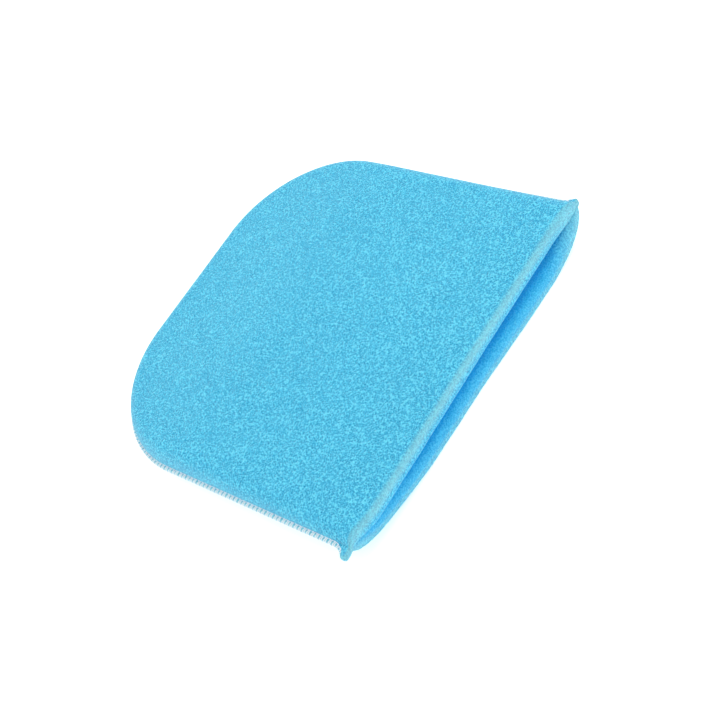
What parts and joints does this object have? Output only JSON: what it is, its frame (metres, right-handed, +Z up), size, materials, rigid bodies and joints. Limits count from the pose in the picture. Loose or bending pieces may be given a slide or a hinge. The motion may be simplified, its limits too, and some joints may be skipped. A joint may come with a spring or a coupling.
{
  "type": "sponge filter sleeve",
  "caption": "Flat open-cell foam filter sleeve: two soft panels overlocked round three sides, with rounded closed-end corners and one open mouth that slips over a strainer.",
  "frame": {"origin": "on the resting face, under the middle of the sleeve's box", "axes": "+X along the mouth, +Y from the mouth to the closed end, +Z up through the two panels"},
  "size_m": [0.2294, 0.2184, 0.0265],
  "materials": {
    "foam": "open-cell polyurethane foam, fine pores, matt, light blue",
    "thread": "white spun polyester sewing thread, slightly glossy"
  },
  "bodies": {
    "root": {"upper_foam_panel": "foam", "lower_foam_panel": "foam", "needle_thread": "thread", "upper_looper_thread": "thread", "lower_looper_thread": "thread"}
  },
  "joints": []
}
